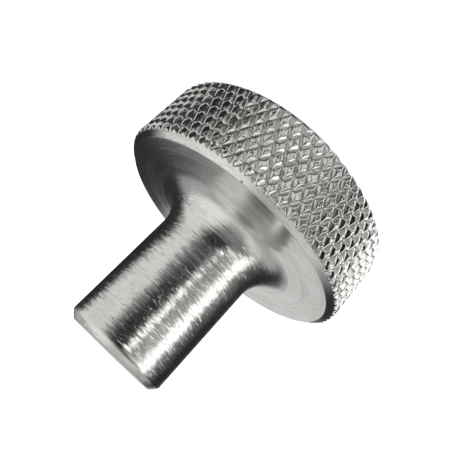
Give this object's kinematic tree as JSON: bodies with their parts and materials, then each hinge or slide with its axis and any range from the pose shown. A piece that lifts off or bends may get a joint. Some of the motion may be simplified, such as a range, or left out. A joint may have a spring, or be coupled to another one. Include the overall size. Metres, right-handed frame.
{
  "type": "knurled knob",
  "caption": "One-piece metal knob: diamond-knurled round head, concave turned neck and a plain cylindrical hub with a tapped blind hole in its end.",
  "frame": {"origin": "centre of the head's flat outer face", "axes": "+Z along the knob's axis, from the head towards the hub's end; X and Y across the head, with a knurl point on +X"},
  "size_m": [0.025, 0.025, 0.022],
  "materials": {
    "turned_steel": "bright turned and knurled metal, lightly polished"
  },
  "bodies": {
    "root": {"knob": "turned_steel"}
  },
  "joints": []
}
